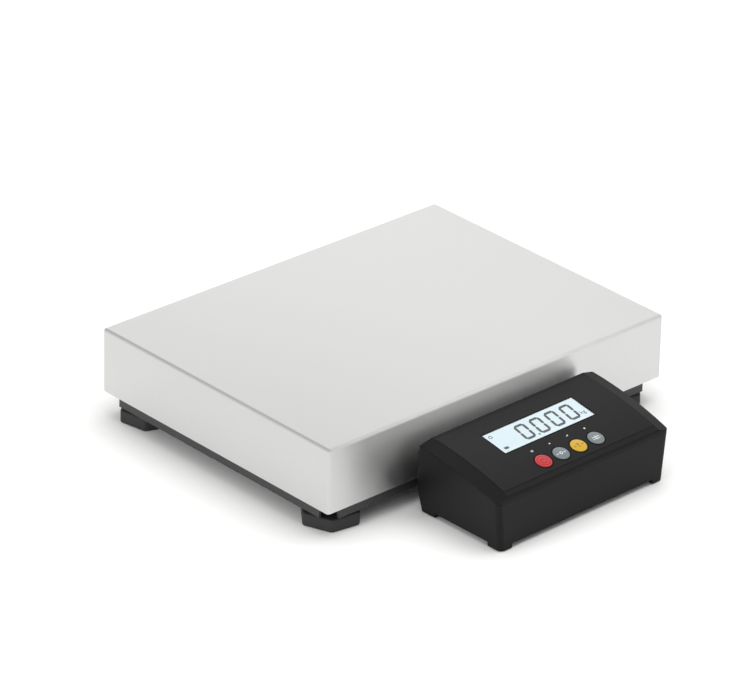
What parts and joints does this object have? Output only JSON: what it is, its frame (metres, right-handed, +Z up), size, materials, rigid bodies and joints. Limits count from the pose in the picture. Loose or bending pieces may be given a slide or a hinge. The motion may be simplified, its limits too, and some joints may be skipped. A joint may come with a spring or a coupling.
{
  "type": "bench scale",
  "caption": "Low rectangular stainless load pan on a black levelling base, with a separate wedge-shaped desk indicator carrying a display and round keys.",
  "frame": {"origin": "on the table, under the middle of the whole object's box; the pan is centred left to right", "axes": "+X to the user's right, +Y away from the user, +Z up"},
  "size_m": [0.4, 0.4108, 0.0875],
  "materials": {
    "pan_steel": "brushed, number 4 satin",
    "zinc_steel": "bright zinc plate",
    "frame_paint": "powder coat, fine texture",
    "base_paint": "black powder coat, satin",
    "cell_alloy": "milled and anodised",
    "sealant": "cast silicone",
    "foot_rubber": "moulded, matt",
    "black_rubber": "moulded, matt",
    "brass_nut": "turned, yellow passivated",
    "vial": "clear acrylic with tinted liquid",
    "case_abs": "moulded, fine spark texture",
    "overlay": "fine velvet polyester film",
    "window": "clear acrylic",
    "lcd": "backlit liquid crystal glass",
    "light_guide": "white acrylic",
    "black_plastic": "moulded nylon",
    "board": "solder mask over glass epoxy",
    "key_red": "moulded silicone, lacquered",
    "key_grey": "moulded silicone, lacquered",
    "key_yellow": "moulded silicone, lacquered",
    "battery_case": "moulded ABS"
  },
  "bodies": {
    "base": {"base_plate": "base_paint", "base_channels": "base_paint", "lower_spacer": "zinc_steel", "cell_base_bolts": "zinc_steel", "load_cell": "cell_alloy", "cell_cover": "sealant", "stop_screws": "zinc_steel", "stop_nuts": "zinc_steel", "weld_nuts": "zinc_steel", "jam_nuts": "brass_nut", "level_body": "black_plastic", "level_vial": "vial", "cable_grommet": "black_rubber"},
    "top_frame": {"top_plate": "frame_paint", "top_rails": "frame_paint", "rail_caps": "black_plastic", "pan_bumpers": "black_rubber", "upper_spacer": "zinc_steel", "cell_top_bolts": "zinc_steel"},
    "pan": {"pan": "pan_steel", "pan_ribs": "pan_steel", "pan_rings": "pan_steel"},
    "stud_1": {"foot_stud_1": "zinc_steel"},
    "foot_1": {"foot_1": "foot_rubber"},
    "stud_2": {"foot_stud_2": "zinc_steel"},
    "foot_2": {"foot_2": "foot_rubber"},
    "stud_3": {"foot_stud_3": "zinc_steel"},
    "foot_3": {"foot_3": "foot_rubber"},
    "stud_4": {"foot_stud_4": "zinc_steel"},
    "foot_4": {"foot_4": "foot_rubber"},
    "indicator": {"bottom_shell": "case_abs", "lid": "case_abs", "face_overlay": "overlay", "display_window": "window", "lcd_glass": "lcd", "lcd_backlight": "light_guide", "lcd_holder": "black_plastic", "display_board": "board", "key_board": "board", "key_switches": "black_plastic", "buzzer": "black_plastic", "battery_pack": "battery_case", "dc_jack": "black_plastic", "cable_inlet": "black_plastic", "inlet_nut": "black_plastic", "shell_screws": "zinc_steel", "board_screws": "zinc_steel", "leg_pads": "black_rubber"},
    "key_power": {"key_power": "key_red"},
    "key_zero": {"key_zero": "key_grey"},
    "key_tare": {"key_tare": "key_yellow"},
    "key_mode": {"key_mode": "key_grey"},
    "battery_door": {"battery_door": "case_abs"}
  },
  "joints": [
    {"name": "load_deflection", "type": "slide", "parent": "base", "child": "top_frame", "axis": [0, 0, -1], "range_m": [0, 0.0005], "stiffness_N_per_m": 400000, "springref_m": -0.0001, "deforming": ["load_cell"]},
    {"name": "pan_lift", "type": "slide", "parent": "top_frame", "child": "pan", "axis": [0, 0, 1], "range_m": [0, 0.08]},
    {"name": "foot_1_height", "type": "slide", "parent": "base", "child": "stud_1", "axis": [0, 0, -1], "range_m": [-0.001, 0.006]},
    {"name": "foot_1_turn", "type": "hinge", "parent": "stud_1", "child": "foot_1", "pos_m": [-0.17, -0.06464, 0], "axis": [0, 0, -1], "range_deg": [-241, 1441]},
    {"name": "foot_2_height", "type": "slide", "parent": "base", "child": "stud_2", "axis": [0, 0, -1], "range_m": [-0.001, 0.006]},
    {"name": "foot_2_turn", "type": "hinge", "parent": "stud_2", "child": "foot_2", "pos_m": [0.17, -0.06464, 0], "axis": [0, 0, -1], "range_deg": [-241, 1441]},
    {"name": "foot_3_height", "type": "slide", "parent": "base", "child": "stud_3", "axis": [0, 0, -1], "range_m": [-0.001, 0.006]},
    {"name": "foot_3_turn", "type": "hinge", "parent": "stud_3", "child": "foot_3", "pos_m": [0.17, 0.17536, 0], "axis": [0, 0, -1], "range_deg": [-241, 1441]},
    {"name": "foot_4_height", "type": "slide", "parent": "base", "child": "stud_4", "axis": [0, 0, -1], "range_m": [-0.001, 0.006]},
    {"name": "foot_4_turn", "type": "hinge", "parent": "stud_4", "child": "foot_4", "pos_m": [-0.17, 0.17536, 0], "axis": [0, 0, -1], "range_deg": [-241, 1441]},
    {"name": "indicator_place", "type": "slide", "parent": "base", "child": "indicator", "axis": [0.0175, -0.9998, 0], "range_m": [0, 0.15]},
    {"name": "press_power", "type": "slide", "parent": "indicator", "child": "key_power", "axis": [-0.0047, 0.2678, -0.9635], "range_m": [0, 0.0004], "stiffness_N_per_m": 2000, "springref_m": -0.0002},
    {"name": "press_zero", "type": "slide", "parent": "indicator", "child": "key_zero", "axis": [-0.0047, 0.2678, -0.9635], "range_m": [0, 0.0004], "stiffness_N_per_m": 2000, "springref_m": -0.0002},
    {"name": "press_tare", "type": "slide", "parent": "indicator", "child": "key_tare", "axis": [-0.0047, 0.2678, -0.9635], "range_m": [0, 0.0004], "stiffness_N_per_m": 2000, "springref_m": -0.0002},
    {"name": "press_mode", "type": "slide", "parent": "indicator", "child": "key_mode", "axis": [-0.0047, 0.2678, -0.9635], "range_m": [0, 0.0004], "stiffness_N_per_m": 2000, "springref_m": -0.0002},
    {"name": "battery_door_slide", "type": "slide", "parent": "indicator", "child": "battery_door", "axis": [-0.0175, 0.9998, 0], "range_m": [0, 0.007]}
  ],
  "couplings": [
    {"joint": "foot_1_turn", "follows": "foot_1_height", "rad_per_m": 4188.8},
    {"joint": "foot_2_turn", "follows": "foot_2_height", "rad_per_m": 4188.8},
    {"joint": "foot_3_turn", "follows": "foot_3_height", "rad_per_m": 4188.8},
    {"joint": "foot_4_turn", "follows": "foot_4_height", "rad_per_m": 4188.8}
  ]
}
